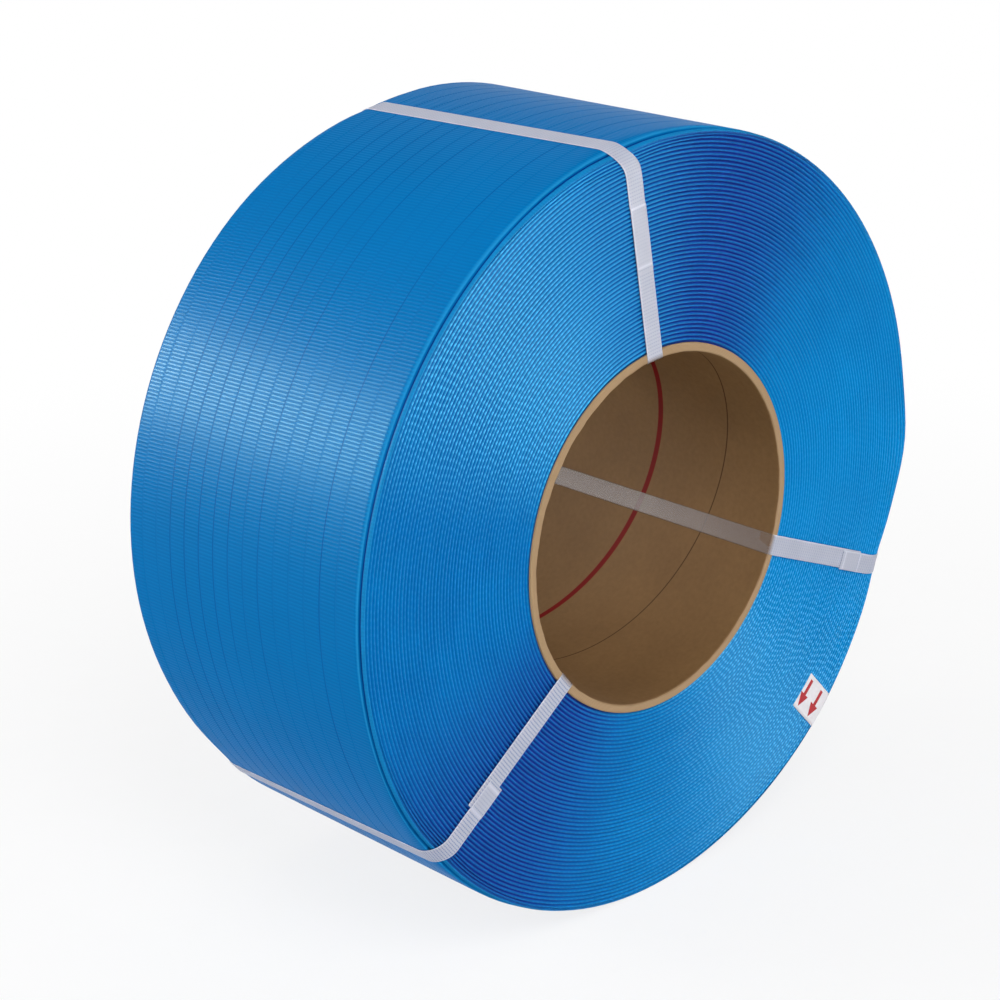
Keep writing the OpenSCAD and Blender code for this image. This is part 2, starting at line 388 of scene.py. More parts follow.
# How far round each of the two corners the point is, from 0 to a quarter turn
bore_rounding = given["Bore rounding"]
end_length = add(skin, "SUBTRACT", given["Outer radius"], given["Bore radius"])
from_bore = add(skin, "ADD", along, end_length)
corners = []
for distance, radius in ((along, rounding), (from_bore, bore_rounding)):
    share = add(skin, "DIVIDE", distance, radius)
    share = add(skin, "ShaderNodeClamp", share, -1.0, 1.0)
    corners.append(add(skin, "MULTIPLY_ADD", share, math.pi / 4, math.pi / 4))
rim_sine, rim_cosine = (add(skin, wave, corners[0]) for wave in ("SINE", "COSINE"))
bore_sine, bore_cosine = (add(skin, wave, corners[1]) for wave in ("SINE", "COSINE"))

# Radius: out of the bore's corner, along the flat end, and round the rim
flat = add(skin, "MINIMUM", add(skin, "MAXIMUM", from_bore, bore_rounding),
           add(skin, "SUBTRACT", end_length, rounding))
radius = add(skin, "ADD", given["Bore radius"], flat)
radius = add(skin, "SUBTRACT", radius, add(skin, "MULTIPLY", bore_rounding, bore_cosine))
radius = add(skin, "ADD", radius, add(skin, "MULTIPLY", rounding, rim_sine))

# Distance from the coil's middle, which falls off round the rim and down the bore
inward = add(skin, "MAXIMUM", add(skin, "SUBTRACT", along, rounding), 0.0)
down = add(skin, "MAXIMUM", add(skin, "SUBTRACT", add(skin, "MULTIPLY", from_bore, -1.0), bore_rounding), 0.0)
drop = add(skin, "MULTIPLY", bore_rounding, add(skin, "SUBTRACT", 1.0, bore_sine))
drop = add(skin, "MULTIPLY_ADD", rounding, add(skin, "SUBTRACT", 1.0, rim_cosine), drop)
depth = add(skin, "SUBTRACT", half_width, add(skin, "ADD", drop, add(skin, "ADD", inward, down)))

# Between the ties the coil bulges into three soft lobes, more so at the top than at the foot, where
# its weight keeps it round. A few loose turns beside one tie stand out at the front rim.
foot = add(skin, "EXPONENT", add(skin, "MULTIPLY_ADD", add(skin, "COSINE", clock), -8.0, -8.0))
aloft = add(skin, "SUBTRACT", 1.0, foot)
upper = add(skin, "MULTIPLY_ADD", add(skin, "COSINE", clock), 0.45, 0.55)
three = add(skin, "COSINE", add(skin, "MULTIPLY", add(skin, "SUBTRACT", clock, given["Lobe clock"]), 3.0))
lobes = add(skin, "MULTIPLY", add(skin, "MULTIPLY", three, upper), given["Lobes"])
outward = add(skin, "DIVIDE", add(skin, "ADD", add(skin, "MINIMUM", along, 0.0), end_length), end_length)
outward = add(skin, "POWER", add(skin, "MAXIMUM", outward, 0.0), 2.0)
lobes = add(skin, "MULTIPLY", lobes, outward)
apart = add(skin, "COSINE", add(skin, "SUBTRACT", clock, given["Slack clock"]))
slack = add(skin, "EXPONENT", add(skin, "MULTIPLY", add(skin, "SUBTRACT", apart, 1.0), 110.0))
near_rim = add(skin, "DIVIDE", along, given["Slack reach"])
near_rim = add(skin, "EXPONENT", add(skin, "MULTIPLY", add(skin, "MULTIPLY", near_rim, near_rim), -1.0))
near_rim = add(skin, "MULTIPLY", near_rim, add(skin, "GREATER_THAN", given["End"], 0.0))
slack = add(skin, "MULTIPLY", add(skin, "MULTIPLY", slack, near_rim), given["Slack"])
radius = add(skin, "MULTIPLY_ADD", add(skin, "ADD", slack, lobes), aloft, radius)

# Height above the skin goes along the normal, which turns with the two corners
out_share = add(skin, "SUBTRACT", rim_sine, bore_cosine)
end_share = add(skin, "SUBTRACT", add(skin, "ADD", rim_cosine, bore_sine), 1.0)
radius = add(skin, "MULTIPLY_ADD", given["Height"], out_share, radius)
depth = add(skin, "MULTIPLY_ADD", given["Height"], end_share, depth)

# The coil stands on its rim: the front end faces -Y
side = add(skin, "MULTIPLY", radius, add(skin, "SINE", clock))
rise = add(skin, "MULTIPLY", radius, add(skin, "COSINE", clock))
front = add(skin, "MULTIPLY", add(skin, "MULTIPLY", depth, given["End"]), -1.0)
skin.links.new(add(skin, "ShaderNodeCombineXYZ", side, front, rise), result)
print("skin group:", len(skin.nodes), "nodes")

# %% [markdown]
# ## The winding
# On the real coil the strap goes round some 2000 times, and what shows is the outermost layer, as
# bands with a thin seam between them, and the strap's edges on both ends, as close ridges. The
# winding is one turned body, so it is swept: its section is a line of points, written unrolled as
# distance along the skin and depth below it, and a Geometry Nodes tree sweeps that line once
# round, breaks its regularity with slow noise, lets the seams drift back by one strap in a turn,
# as on a helix, and asks the skin group where each point belongs.

# %% Section of the winding, unrolled
RIDGE_SHAPE = ((0.0, 1.0), (0.22, 0.55), (0.4, 0.06), (0.6, 0.06), (0.78, 0.55))
ridges = math.floor((OUTER - WOUND_FROM - RIDGE_FIRST) / RIDGE_PITCH)
seams = math.floor((2 * HALF_WIDTH - SEAM_FIRST - 2 * LIP) / STRAP_WIDTH) + 1


def end_rows(first_turn):
    """Rows on one end, from the rim inward: along, depth, turn and drift."""
    rows = []
    for ridge in range(ridges):
        for share, deep in RIDGE_SHAPE:
            rows.append((-RIDGE_FIRST - (ridge + share) * RIDGE_PITCH, deep * RIDGE_DEPTH,
                         first_turn + ridge + share, 0.0))
    return rows + [(WOUND_FROM - OUTER, RIDGE_DEPTH / 2, first_turn + ridges, 0.0)]


def outside_rows():
    """Rows on the outside, from the front rim back to the last seam."""
    rows = [(-0.9 * MM, 0.0, FLAT_TURNS + 0.4, 0.0), (0.1 * MM, 0.0, FLAT_TURNS + 0.45, 0.0),
            (0.9 * MM, 0.4 * MM, FLAT_TURNS + 0.5, 0.0), (1.7 * MM, 0.05 * MM, FLAT_TURNS + 0.55, 0.0)]
    for offset, deep in ((-0.5, 0.45), (0.0, 1.0), (0.25, 0.9), (0.6, 0.0)):
        rows.append((LIP + offset * LIP_WIDTH, deep * LIP_DEPTH, FLAT_TURNS + 1 + offset * 0.1, 0.0))
    rows += [(LIP + share * (SEAM_FIRST - LIP), 0.0, FLAT_TURNS + 1 + share, 1.0)
             for share in (0.12, 0.5, 0.92)]
    for seam in range(seams):
        place = SEAM_FIRST + seam * STRAP_WIDTH
        for offset, deep in ((-0.5, 0.0), (0.0, 1.0), (0.5, 0.0)):
            rows.append((place + offset * SEAM_WIDTH, deep * SEAM_DEPTH,
                         FLAT_TURNS + 2 + seam + offset * SEAM_WIDTH / STRAP_WIDTH, 1.0))
        if seam < seams - 1:
            rows += [(place + share * STRAP_WIDTH, 0.0, FLAT_TURNS + 2 + seam + share, 1.0)
                     for share in (0.09, 0.5, 0.91)]
    return rows


def last_rows():
    """Rows from the last seam to the rear rim, measured from that rim."""
    rest = 2 * HALF_WIDTH - SEAM_FIRST - (seams - 1) * STRAP_WIDTH
    shares = (0.85, 0.65, 0.45, 0.28, 0.14, 0.05)
    return [(share * rest, 0.0, FLAT_TURNS + 1 + seams + (1 - share) * rest / STRAP_WIDTH, share)
            for share in shares] + [(-0.8 * MM, 0.1 * MM, FLAT_TURNS + 2 + seams, 0.0)]


front = [(*row, 1.0) for row in reversed(end_rows(0))] + [(*row, 1.0) for row in outside_rows()]
rear = [(*row, -1.0) for row in last_rows() + end_rows(REAR_TURNS)]
rows = front + rear
section = bpy.data.meshes.new("section of the winding")
section.from_pydata([(row[0], row[1], 0) for row in rows],
                    [(i, (i + 1) % len(rows)) for i in range(len(rows))], [])
for place, name in enumerate(("along", "deep", "turn", "drift", "end")):
    section.attributes.new(name, "FLOAT", "POINT").data.foreach_set("value", [row[place] for row in rows])
print("section of the winding:", len(rows), "points,", ridges, "ridges on an end,", seams, "seams")

# %% Sweep the section round
wound, given, result = start_tree("wound strap", {
    "Section": None, "Steps around": 160, "Seam lead": STRAP_WIDTH, "Crossover clock": 215.0,
    "Wander": 0.7 * MM, "Unevenness": 0.5 * MM, "Groove change": 0.9, "Opening": 1.6,
    "First opening": math.radians(16), "Second opening": math.radians(223), "Seed": 3.0,
    "Flat finish": flat_strap, "Edge finish": edge_strap,
})
ring = add(wound, "GeometryNodeCurvePrimitiveCircle", {"Resolution": given["Steps around"]})
angle = add(wound, "MULTIPLY", add(wound, "GeometryNodeSplineParameter"), TURN)
ring = add(wound, "GeometryNodeStoreNamedAttribute", {"Geometry": ring, "Name": "clock", "Value": angle})
line = add(wound, "GeometryNodeMeshToCurve", given["Section"])
sheet = add(wound, "GeometryNodeCurveToMesh", {"Curve": ring, "Profile Curve": line})
read = {name: add(wound, "GeometryNodeInputNamedAttribute", {"Name": name})
        for name in ("along", "deep", "turn", "drift", "end", "clock")}

# Slow noise that closes on itself, because it is read on a circle, with the turn as its height
noises = []
for spread, step, shift in ((1.6, 0.9, 0.0), (3.0, 0.33, 40.0)):
    east = add(wound, "MULTIPLY", add(wound, "COSINE", read["clock"]), spread)
    north = add(wound, "MULTIPLY", add(wound, "SINE", read["clock"]), spread)
    up = add(wound, "MULTIPLY_ADD", read["turn"], step, add(wound, "ADD", given["Seed"], shift))
    spot = add(wound, "ShaderNodeCombineXYZ", east, north, up)
    noise = add(wound, "ShaderNodeTexNoise", {"Vector": spot, "Scale": 1.0, "Detail": 2.0})
    noises.append(add(wound, "SUBTRACT", noise, 0.5))

# The seams drift back by one strap in a turn and return where the layer crosses over, at the foot
start = add(wound, "DIVIDE", given["Crossover clock"], 360.0)
gone = add(wound, "FRACT", add(wound, "SUBTRACT", add(wound, "DIVIDE", read["clock"], TURN), start))
climb = add(wound, "ShaderNodeMapRange", gone, 0.0, 0.89, 0.0, 1.0)
fall = add(wound, "ShaderNodeMapRange", gone, 0.89, 1.0, 0.0, 1.0, interpolation_type="SMOOTHSTEP")
lead = add(wound, "MULTIPLY", add(wound, "SUBTRACT", climb, fall), given["Seam lead"])
lead = add(wound, "MULTIPLY_ADD", noises[1], given["Wander"], lead)
lead = add(wound, "MULTIPLY", lead, add(wound, "MULTIPLY", read["drift"], read["end"]))
along = add(wound, "ADD", read["along"], lead)

# Grooves differ in depth and gape in two places, and turns stand a little in or out
gape = 0.0
for name in ("First opening", "Second opening"):
    apart = add(wound, "COSINE", add(wound, "SUBTRACT", read["clock"], given[name]))
    bell = add(wound, "EXPONENT", add(wound, "MULTIPLY", add(wound, "SUBTRACT", apart, 1.0), 16.0))
    gape = add(wound, "ADD", gape, bell)
deeper = add(wound, "MULTIPLY_ADD", noises[1], given["Groove change"], 1.0)
deeper = add(wound, "MULTIPLY_ADD", gape, given["Opening"], deeper)
height = add(wound, "MULTIPLY", read["deep"], add(wound, "MULTIPLY", deeper, -1.0))
loose = add(wound, "ShaderNodeMapRange", read["turn"], FLAT_TURNS - 1, float(FLAT_TURNS), 1.0, 0.25)
uneven = add(wound, "MULTIPLY", given["Unevenness"], loose)
height = add(wound, "MULTIPLY_ADD", noises[0], uneven, height)
place = add(wound, "GeometryNodeGroup", {"Along": along, "Height": height, "Clock": read["clock"],
                                         "End": read["end"]}, node_tree=skin)
body = add(wound, "GeometryNodeStoreNamedAttribute", {"Geometry": sheet, "Name": "gape", "Value": gape})
body = add(wound, "GeometryNodeSetPosition", {"Geometry": body, "Position": place})
body = add(wound, "GeometryNodeSetShadeSmooth", {"Geometry": body})
body = add(wound, "GeometryNodeRealizeInstances", body)
on_edge = add(wound, "FunctionNodeCompare", {"A": read["turn"], "B": float(FLAT_TURNS)},
              operation="LESS_THAN")
body = add(wound, "GeometryNodeSetMaterial", {"Geometry": body, "Material": given["Flat finish"]})
body = add(wound, "GeometryNodeSetMaterial", {"Geometry": body, "Selection": on_edge,
                                              "Material": given["Edge finish"]})
wound.links.new(body, result)
strap = grow("wound_strap", section, wound)

# %% [markdown]
# ## Ties
# A tie is a narrow strap of natural polypropylene, which is milky and lets some light through. It
# goes in through the bore, round the winding and over itself, and a hot blade welds the two ends.
# It is modelled as it is made: one flat ribbon whose path starts under the weld, runs down the
# front end, through the bore, up the rear end, along the outside and ends on top of its own start.
# The path is a rule in distance along the skin, so the ribbon bends exactly where the coil does.

# %% Material of the ties
tie_plastic, tree, surface = start_material("natural polypropylene, embossed", {
    "Roughness": 0.42, "IOR": 1.49, "Specular IOR Level": 0.05})
run = add(tree, "ShaderNodeAttribute", attribute_name="run").node.outputs["Fac"]
over = add(tree, "ShaderNodeAttribute", attribute_name="over").node.outputs["Fac"]
weld = add(tree, "ShaderNodeAttribute", attribute_name="weld").node.outputs["Fac"]
rows_wave = add(tree, "SINE", add(tree, "MULTIPLY", run, TURN / (1.97 * MM)))
cells = add(tree, "SINE", add(tree, "MULTIPLY", over, TURN / (1.6 * MM)))
unwelded = add(tree, "MULTIPLY_ADD", weld, -0.6, 1.0)
relief = add(tree, "MULTIPLY", add(tree, "MULTIPLY", rows_wave, cells), unwelded)
place = add(tree, "ShaderNodeTexCoord").node.outputs["Object"]
cloud = add(tree, "ShaderNodeTexNoise", {"Vector": place, "Scale": 60.0, "Detail": 3.0})
milky = add(tree, "ShaderNodeMix", {0: cloud, 6: colour("#C0C4D4"), 7: colour("#D0D2E0")}, data_type="RGBA")
pressed = add(tree, "ShaderNodeMapRange", rows_wave, -0.1, -0.8, 0.0, 0.7)
pressed = add(tree, "MULTIPLY", pressed, add(tree, "MULTIPLY_ADD", cells, 0.4, 0.6))
pressed = add(tree, "MULTIPLY", pressed, unwelded)
pressing = add(tree, "ShaderNodeAttribute", attribute_name="pressing").node.outputs["Fac"]
pressed = add(tree, "MULTIPLY", pressed, pressing)
milky = add(tree, "ShaderNodeMix", {0: pressed, 6: milky, 7: colour("#7088B8")}, data_type="RGBA")
# The tie's edges and the steps at its weld get a painted highlight, a near white.
rim = add(tree, "ShaderNodeMapRange", add(tree, "ABSOLUTE", over), 5.0 * MM, 5.9 * MM, 0.0, 0.8)
step = add(tree, "ShaderNodeAttribute", attribute_name="step").node.outputs["Fac"]
painted_highlight = add(tree, "MAXIMUM", rim, add(tree, "MULTIPLY", step, 0.8))
shade = add(tree, "ShaderNodeMix", {0: painted_highlight, 6: milky, 7: colour("#E8EAF6")}, data_type="RGBA")
off_axis = add(tree, "ShaderNodeVectorMath", {0: place, 1: (1.0, 0.0, 1.0)}, operation="MULTIPLY")
off_axis = add(tree, "ShaderNodeVectorMath", off_axis, operation="LENGTH").node.outputs["Value"]
outside_bore = add(tree, "ShaderNodeMapRange", off_axis, BORE - 0.6 * MM, BORE + 3 * MM, 0.0, 1.0)
in_shade = add(tree, "MULTIPLY_ADD", outside_bore, -0.85, 0.85)
shade = add(tree, "ShaderNodeMix", {0: in_shade, 6: shade, 7: colour("#84694E")}, data_type="RGBA")
tree.links.new(shade, surface["Base Color"])
tree.links.new(add(tree, "MULTIPLY_ADD", outside_bore, 0.45, 0.35), surface["Alpha"])
bump = add(tree, "ShaderNodeBump", {"Height": relief, "Distance": 0.05 * MM, "Strength": 1.0})
tree.links.new(bump, surface["Normal"])

# %% Tree of a tie
TIE_WIDTH = 12 * MM
TIE_THICK = 0.45 * MM
SEAT_GAP = 0.02 * MM
END_LENGTH = OUTER - BORE

ribbon, given, result = start_tree("welded tie", {
    "Section": None, "Station spacing": 0.75 * MM, "Clock": 0.0, "Side": 0.0, "Skew": 0.0, "Lean": 0.0,
    "Weld from rim": 30 * MM, "Weld length": 20 * MM, "Weld offset": 0.5 * MM,
    "Thickness": TIE_THICK, "Seat gap": SEAT_GAP, "Tube stands out": TUBE_HALF - HALF_WIDTH,
    "Pressing": 1.0, "Finish": tie_plastic,
})
# The path is measured from the middle of the bore: backward on the front, forward on the rear
inner = END_LENGTH + HALF_WIDTH
half_loop = inner + HALF_WIDTH
first = add(ribbon, "SUBTRACT", given["Weld from rim"], inner)
last = add(ribbon, "ADD", given["Weld from rim"], add(ribbon, "ADD", given["Weld length"], half_loop + HALF_WIDTH))
length = add(ribbon, "SUBTRACT", last, first)
count = add(ribbon, "DIVIDE", length, given["Station spacing"])
path = add(ribbon, "GeometryNodeCurvePrimitiveLine", {"End": (1.0, 0.0, 0.0)})
path = add(ribbon, "GeometryNodeResampleCurve", {"Curve": path, "Count": count})
factor = add(ribbon, "GeometryNodeSplineParameter")
reach = add(ribbon, "MULTIPLY_ADD", factor, length, first)
path = add(ribbon, "GeometryNodeStoreNamedAttribute", {"Geometry": path, "Name": "run", "Value": reach})
line = add(ribbon, "GeometryNodeMeshToCurve", given["Section"])
sheet = add(ribbon, "GeometryNodeCurveToMesh", {"Curve": path, "Profile Curve": line, "Fill Caps": True})
run = add(ribbon, "GeometryNodeInputNamedAttribute", {"Name": "run"})
over = add(ribbon, "GeometryNodeInputNamedAttribute", {"Name": "over"})
lift = add(ribbon, "GeometryNodeInputNamedAttribute", {"Name": "lift"})

# Distance along the skin and the end for each station
past = add(ribbon, "SUBTRACT", 2 * half_loop, run)
along = add(ribbon, "SUBTRACT", add(ribbon, "MINIMUM", add(ribbon, "ABSOLUTE", run), past), inner)
behind = add(ribbon, "MULTIPLY", add(ribbon, "GREATER_THAN", run, 0.0),
             add(ribbon, "LESS_THAN", run, half_loop))
end = add(ribbon, "MULTIPLY_ADD", behind, -2.0, 1.0)

# The second layer climbs on the first. It lies a little to the side, as the whole outer run does,
# and on the front end the tie leans
weld_start = add(ribbon, "ADD", given["Weld from rim"], half_loop + HALF_WIDTH)
low_edge = add(ribbon, "SUBTRACT", weld_start, 1.2 * MM)
high_edge = add(ribbon, "ADD", weld_start, 0.6 * MM)
climb = add(ribbon, "ShaderNodeMapRange", run, low_edge, high_edge, 0.0, 1.0,
            interpolation_type="SMOOTHSTEP")
base = add(ribbon, "MULTIPLY_ADD", climb, given["Thickness"], given["Seat gap"])
height = add(ribbon, "MULTIPLY_ADD", lift, given["Thickness"], base)
outer_run = add(ribbon, "ShaderNodeMapRange", run, inner - END_LENGTH, inner, 0.0, 1.0)
middle = add(ribbon, "MULTIPLY_ADD", outer_run, given["Weld offset"], given["Side"])
on_front = add(ribbon, "ShaderNodeMapRange", along, -18 * MM, 8 * MM, 1.0, 0.0, interpolation_type="SMOOTHSTEP")
on_front = add(ribbon, "MULTIPLY", on_front, add(ribbon, "SUBTRACT", 1.0, behind))
from_bore = add(ribbon, "MAXIMUM", add(ribbon, "ADD", along, END_LENGTH), 0.0)
leaning = add(ribbon, "MULTIPLY", add(ribbon, "MULTIPLY", from_bore, given["Lean"]), on_front)
across = add(ribbon, "ADD", add(ribbon, "ADD", middle, leaning), over)

# Welded plastic is flat: the finish loses its rows there
weld_end = add(ribbon, "SUBTRACT", last, 3 * MM)
top_patch = add(ribbon, "MULTIPLY", add(ribbon, "GREATER_THAN", run, add(ribbon, "ADD", weld_start, 2 * MM)),
                add(ribbon, "LESS_THAN", run, weld_end))

# A flat ribbon's clock angle depends on how far out it is, and the skew turns it along the outside
near = add(ribbon, "MAXIMUM", add(ribbon, "MINIMUM", add(ribbon, "ADD", along, OUTER), OUTER), BORE)
bend = add(ribbon, "ARCSINE", add(ribbon, "DIVIDE", across, near))
slide = add(ribbon, "ShaderNodeMapRange", run, inner + 5 * MM, half_loop + HALF_WIDTH - 5 * MM, 1.0, 0.0)
inside = add(ribbon, "ShaderNodeMapRange", run, inner - END_LENGTH, inner - 5 * MM, 0.0, 1.0)
skew = add(ribbon, "MULTIPLY", given["Skew"], add(ribbon, "MULTIPLY", slide, inside))
clock = add(ribbon, "ADD", add(ribbon, "ADD", given["Clock"], bend), skew)
toward_bore = add(ribbon, "ShaderNodeClamp", add(ribbon, "DIVIDE", along, -END_LENGTH), 0.0, 1.0)
half_width = add(ribbon, "MULTIPLY_ADD", toward_bore, given["Tube stands out"], HALF_WIDTH)
place = add(ribbon, "GeometryNodeGroup", {"Along": along, "Height": height, "Clock": clock, "End": end,
                                          "Half width": half_width}, node_tree=skin)
nearest = add(ribbon, "MINIMUM", add(ribbon, "ABSOLUTE", add(ribbon, "SUBTRACT", run, weld_start)),
              add(ribbon, "ABSOLUTE", add(ribbon, "SUBTRACT", run, weld_end)))
step = add(ribbon, "ShaderNodeMapRange", nearest, 0.3 * MM, 1.0 * MM, 1.0, 0.0)
body = add(ribbon, "GeometryNodeStoreNamedAttribute", {"Geometry": sheet, "Name": "weld", "Value": top_patch})
body = add(ribbon, "GeometryNodeStoreNamedAttribute", {"Geometry": body, "Name": "step", "Value": step})
body = add(ribbon, "GeometryNodeStoreNamedAttribute",
           {"Geometry": body, "Name": "pressing", "Value": given["Pressing"]})
body = add(ribbon, "GeometryNodeSetPosition", {"Geometry": body, "Position": place})
body = add(ribbon, "GeometryNodeRealizeInstances", body)
body = add(ribbon, "GeometryNodeSetMaterial", {"Geometry": body, "Material": given["Finish"]})
ribbon.links.new(body, result)

# %% Make the three ties
TIE_PLACES = {
    "tie_1": {"weld_from_rim": 33.5 * MM, "weld_length": 36 * MM, "skew": math.radians(-2.0),
              "lean": 0.045, "weld_offset": -0.3 * MM, "pressing": 0.5},
    "tie_2": {"weld_from_rim": 27.5 * MM, "weld_length": 19 * MM, "skew": 0.0,
              "lean": 0.032, "weld_offset": 0.9 * MM, "pressing": 0.6},
    "tie_3": {"weld_from_rim": 32.5 * MM, "weld_length": 19 * MM, "skew": math.radians(-3.8),
              "lean": 0.0, "weld_offset": -2.6 * MM, "pressing": 1.25},
}
CROSS_SECTION = ((-0.5, 0.5), (-0.47, 0.95), (-0.4, 1.0), (-0.2, 1.0), (0.0, 1.0), (0.2, 1.0), (0.4, 1.0),
                 (0.47, 0.95), (0.5, 0.5), (0.47, 0.05), (0.4, 0.0), (0.2, 0.0), (0.0, 0.0), (-0.2, 0.0),
                 (-0.4, 0.0), (-0.47, 0.05))
ties = []
for name, choice in TIE_PLACES.items():
    points = [(over * TIE_WIDTH, lift * TIE_THICK, 0) for over, lift in CROSS_SECTION]
    outline = bpy.data.meshes.new("section of a tie")
    outline.from_pydata(points, [(i, (i + 1) % len(points)) for i in range(len(points))], [])
    outline.attributes.new("over", "FLOAT", "POINT").data.foreach_set("value", [p[0] for p in points])
    outline.attributes.new("lift", "FLOAT", "POINT").data.foreach_set(
        "value", [lift for _, lift in CROSS_SECTION])
    ties.append(grow(name + "_ribbon", outline, ribbon, clock=math.radians(TIES[name]["clock"]),
                     side=TIES[name]["side"], **choice))

# %% [markdown]
# ## Paper tube
# The tube is wound from strips of kraft paper that spiral along it, so its bore shows the strips'
# edges as two thin helical lines, one of them printed dark red as a guide line. Its ends are sawn
# and a little crushed, with torn fibres at the inner edge.

# %% Material of the tube
TUBE_LEAD = 133 * MM
PLY = 0.7 * MM
kraft, tree, surface = start_material("kraft paper, spirally wound", {
    "Roughness": 0.85, "IOR": 1.45, "Specular IOR Level": 0.03})
place = add(tree, "ShaderNodeTexCoord").node.outputs["Object"]
x, y, z = add(tree, "ShaderNodeSeparateXYZ", place).node.outputs
clock = add(tree, "ARCTAN2", x, z)
radius = add(tree, "SQRT", add(tree, "ADD", add(tree, "MULTIPLY", x, x), add(tree, "MULTIPLY", z, z)))
inside = add(tree, "LESS_THAN", radius, BORE + 0.3 * MM)
forward = add(tree, "MULTIPLY", y, -1.0)
unwound = add(tree, "MULTIPLY_ADD", clock, TUBE_LEAD / TURN, forward)
marks = []
printed = add(tree, "MULTIPLY", inside, add(tree, "ShaderNodeMapRange", forward, 84 * MM, 90 * MM, 1.0, 0.0))
for start, line_width in ((34.1 * MM, 1.6 * MM), (85.8 * MM, 0.35 * MM)):
    strip = add(tree, "FRACT", add(tree, "DIVIDE", add(tree, "SUBTRACT", unwound, start), TUBE_LEAD))
    apart = add(tree, "PINGPONG", strip, 0.5)
    line = add(tree, "ShaderNodeMapRange", apart, line_width / TUBE_LEAD, 1.35 * line_width / TUBE_LEAD,
               1.0, 0.0)
    marks.append(add(tree, "MULTIPLY", line, printed))
fibres = add(tree, "ShaderNodeTexNoise", {"Vector": place, "Scale": 350.0, "Detail": 4.0})
blotches = add(tree, "ShaderNodeTexNoise", {"Vector": place, "Scale": 22.0, "Detail": 3.0})
mottle = add(tree, "MULTIPLY_ADD", fibres, 0.5, add(tree, "MULTIPLY", blotches, 0.5))
liner = add(tree, "ShaderNodeMix", {0: mottle, 6: colour("#6C5034"), 7: colour("#8E6E48")}, data_type="RGBA")
cut = add(tree, "ShaderNodeMix", {0: mottle, 6: colour("#A28460"), 7: colour("#D0B28C")}, data_type="RGBA")
plies = add(tree, "SINE", add(tree, "MULTIPLY", radius, TURN / PLY))
plies = add(tree, "MULTIPLY_ADD", plies, 0.15, add(tree, "MULTIPLY_ADD", mottle, 0.8, -0.1))
cut = add(tree, "ShaderNodeMix", {0: plies, 6: cut, 7: liner}, data_type="RGBA")
wear_and_painted_highlight = add(tree, "ShaderNodeMapRange", add(tree, "MULTIPLY_ADD", blotches, 3 * MM, radius),
           BORE + 1.6 * MM, BORE + 2.6 * MM, 0.6, 0.0)
cut = add(tree, "ShaderNodeMix", {0: wear_and_painted_highlight, 6: cut, 7: liner}, data_type="RGBA")
paper = add(tree, "ShaderNodeMix", {0: inside, 6: cut, 7: liner}, data_type="RGBA")
seam = add(tree, "ShaderNodeMix", {0: add(tree, "MULTIPLY", marks[1], 0.75), 6: paper,
                                   7: colour("#36220F")}, data_type="RGBA")
shade = add(tree, "ShaderNodeMix", {0: marks[0], 6: seam, 7: colour("#740F0A")}, data_type="RGBA")
tree.links.new(shade, surface["Base Color"])
bump = add(tree, "ShaderNodeBump", {"Height": mottle, "Distance": 0.15 * MM, "Strength": 0.6})
tree.links.new(bump, surface["Normal"])

# %% Tube
tube_tree, given, result = start_tree("wound paper tube", {
    "Section": None, "Steps around": 240, "Crushing": 0.9 * MM, "Seed": 8.0, "Finish": kraft})
ring = add(tube_tree, "GeometryNodeCurvePrimitiveCircle", {"Resolution": given["Steps around"]})
angle = add(tube_tree, "MULTIPLY", add(tube_tree, "GeometryNodeSplineParameter"), TURN)
ring = add(tube_tree, "GeometryNodeStoreNamedAttribute", {"Geometry": ring, "Name": "clock", "Value": angle})
line = add(tube_tree, "GeometryNodeMeshToCurve", given["Section"])
sheet = add(tube_tree, "GeometryNodeCurveToMesh", {"Curve": ring, "Profile Curve": line})
read = {name: add(tube_tree, "GeometryNodeInputNamedAttribute", {"Name": name})
        for name in ("out", "front", "soft", "clock")}
sine, cosine = (add(tube_tree, wave, read["clock"]) for wave in ("SINE", "COSINE"))
spot = add(tube_tree, "ShaderNodeCombineXYZ", add(tube_tree, "MULTIPLY", sine, 14.0),
           add(tube_tree, "MULTIPLY", cosine, 14.0), add(tube_tree, "MULTIPLY", read["out"], 700.0))
noise = add(tube_tree, "ShaderNodeTexNoise", {"Vector": spot, "Scale": 1.0, "Detail": 3.0})
crushed = add(tube_tree, "MULTIPLY", add(tube_tree, "SUBTRACT", noise, 0.5), given["Crushing"])
crushed = add(tube_tree, "MULTIPLY", crushed, read["soft"])
radius = add(tube_tree, "ADD", read["out"], crushed)
place = add(tube_tree, "ShaderNodeCombineXYZ", add(tube_tree, "MULTIPLY", radius, sine),
            add(tube_tree, "SUBTRACT", crushed, read["front"]), add(tube_tree, "MULTIPLY", radius, cosine))
body = add(tube_tree, "GeometryNodeSetPosition", {"Geometry": sheet, "Position": place})
body = add(tube_tree, "GeometryNodeSetShadeSmooth", {"Geometry": body})
body = add(tube_tree, "GeometryNodeRealizeInstances", body)
body = add(tube_tree, "GeometryNodeSetMaterial", {"Geometry": body, "Material": given["Finish"]})
tube_tree.links.new(body, result)


def tube_end(sign):
    """Points over one end of the tube, from the bore to the outside: radius, front and softness."""
    points = []
    for step in range(9):
        turned = step / 8 * math.pi / 2
        points.append((BORE + 1.2 * MM * (1 - math.sin(turned)), TUBE_HALF - 1.2 * MM * (1 - math.cos(turned))))
    points.reverse()
    points += [(BORE + wall * MM, TUBE_HALF) for wall in (1.8, 2.4, 3.0, 3.6, 4.2)]
    points += [(TUBE_OUTER - 0.3 * MM, TUBE_HALF), (TUBE_OUTER, TUBE_HALF - 0.3 * MM)]
    return [(radius, sign * front, 0.0 if radius > TUBE_OUTER - 0.1 * MM else 1.0) for radius, front in points]


